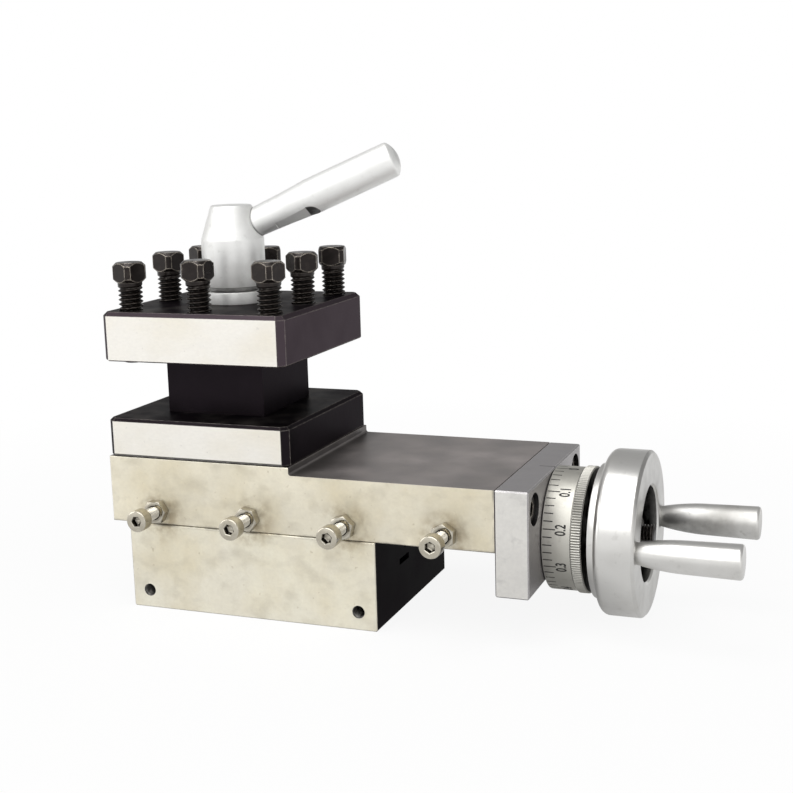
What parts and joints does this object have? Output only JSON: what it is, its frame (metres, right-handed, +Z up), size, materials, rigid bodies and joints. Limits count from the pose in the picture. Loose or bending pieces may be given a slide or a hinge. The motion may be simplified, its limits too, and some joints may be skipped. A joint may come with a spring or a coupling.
{
  "type": "lathe tool turret",
  "caption": "Four-way lathe tool turret with clamp lever on a dovetailed compound slide, moved by a leadscrew with graduated dial and two-handled handwheel.",
  "frame": {"origin": "centre of the flat underside of the base block", "axes": "+X along the slide towards the handwheel, +Y to the back, +Z up through the turret"},
  "size_m": [0.2032, 0.079, 0.1499],
  "materials": {
    "base_block": "ground faces, fine straight grain",
    "top_slide": "ground sides, dark milled top",
    "gib": "ground",
    "nickel_screws": "dull nickel plate",
    "bracket": "milled and lightly brushed",
    "bronze": "machined",
    "black_cap_screws": "black oxide",
    "leadscrew_steel": "turned",
    "wheel": "satin turned",
    "handles": "satin turned",
    "dial": "satin, black marks",
    "spring_steel": "blued",
    "turret_block": "black oxide with ground front and back",
    "tool_screws": "black oxide, edges rubbed bright",
    "bright_steel": "satin turned"
  },
  "bodies": {
    "base": {"base_block": "base_block", "leadscrew_nut": "bronze", "nut_screw": "black_cap_screws"},
    "top_slide": {"top_slide": "top_slide", "gib_strip": "gib", "gib_screws": "nickel_screws", "gib_lock_nuts": "nickel_screws", "end_bracket": "bracket", "bracket_screws": "black_cap_screws", "bearing_bush": "bronze", "turret_stud": "bright_steel", "index_ball": "bright_steel", "index_spring": "spring_steel"},
    "spindle": {"leadscrew": "leadscrew_steel", "handwheel": "wheel", "wheel_key": "leadscrew_steel", "wheel_washer": "leadscrew_steel", "wheel_nut": "black_cap_screws", "wheel_handle_front": "handles", "wheel_handle_rear": "handles", "dial_spring": "spring_steel"},
    "dial": {"dial": "dial"},
    "turret": {"turret_block": "turret_block", "thrust_washer": "bright_steel"},
    "clamp_lever": {"clamp_hub": "bright_steel", "lever_arm": "bright_steel"},
    "tool_screw_1": {"tool_screw_1": "tool_screws"},
    "tool_screw_2": {"tool_screw_2": "tool_screws"},
    "tool_screw_3": {"tool_screw_3": "tool_screws"},
    "tool_screw_4": {"tool_screw_4": "tool_screws"},
    "tool_screw_5": {"tool_screw_5": "tool_screws"},
    "tool_screw_6": {"tool_screw_6": "tool_screws"},
    "tool_screw_7": {"tool_screw_7": "tool_screws"},
    "tool_screw_8": {"tool_screw_8": "tool_screws"}
  },
  "joints": [
    {"name": "slide_travel", "type": "slide", "parent": "base", "child": "top_slide", "axis": [1, 0, 0], "range_m": [-0.034, 0.02]},
    {"name": "handwheel_turn", "type": "hinge", "parent": "top_slide", "child": "spindle", "pos_m": [0.1, 0, 0.029], "axis": [1, 0, 0], "range_deg": [-12240, 7200]},
    {"name": "dial_zero", "type": "hinge", "parent": "spindle", "child": "dial", "pos_m": [0.099, 0, 0.029], "axis": [1, 0, 0], "continuous": true},
    {"name": "turret_index", "type": "hinge", "parent": "top_slide", "child": "turret", "pos_m": [-0.01735, 0, 0.051], "axis": [0, 0, 1], "continuous": true},
    {"name": "clamp_turn", "type": "hinge", "parent": "top_slide", "child": "clamp_lever", "pos_m": [-0.01735, 0, 0.1027], "axis": [0, 0, 1], "range_deg": [0, 120]},
    {"name": "tool_screw_1_travel", "type": "slide", "parent": "turret", "child": "tool_screw_1", "axis": [0, 0, 1], "range_m": [-0.009, 0.008]},
    {"name": "tool_screw_2_travel", "type": "slide", "parent": "turret", "child": "tool_screw_2", "axis": [0, 0, 1], "range_m": [-0.009, 0.008]},
    {"name": "tool_screw_3_travel", "type": "slide", "parent": "turret", "child": "tool_screw_3", "axis": [0, 0, 1], "range_m": [-0.009, 0.008]},
    {"name": "tool_screw_4_travel", "type": "slide", "parent": "turret", "child": "tool_screw_4", "axis": [0, 0, 1], "range_m": [-0.009, 0.008]},
    {"name": "tool_screw_5_travel", "type": "slide", "parent": "turret", "child": "tool_screw_5", "axis": [0, 0, 1], "range_m": [-0.009, 0.008]},
    {"name": "tool_screw_6_travel", "type": "slide", "parent": "turret", "child": "tool_screw_6", "axis": [0, 0, 1], "range_m": [-0.009, 0.008]},
    {"name": "tool_screw_7_travel", "type": "slide", "parent": "turret", "child": "tool_screw_7", "axis": [0, 0, 1], "range_m": [-0.009, 0.008]},
    {"name": "tool_screw_8_travel", "type": "slide", "parent": "turret", "child": "tool_screw_8", "axis": [0, 0, 1], "range_m": [-0.009, 0.008]}
  ],
  "couplings": [
    {"joint": "handwheel_turn", "follows": "slide_travel", "rad_per_m": 6283.2}
  ]
}
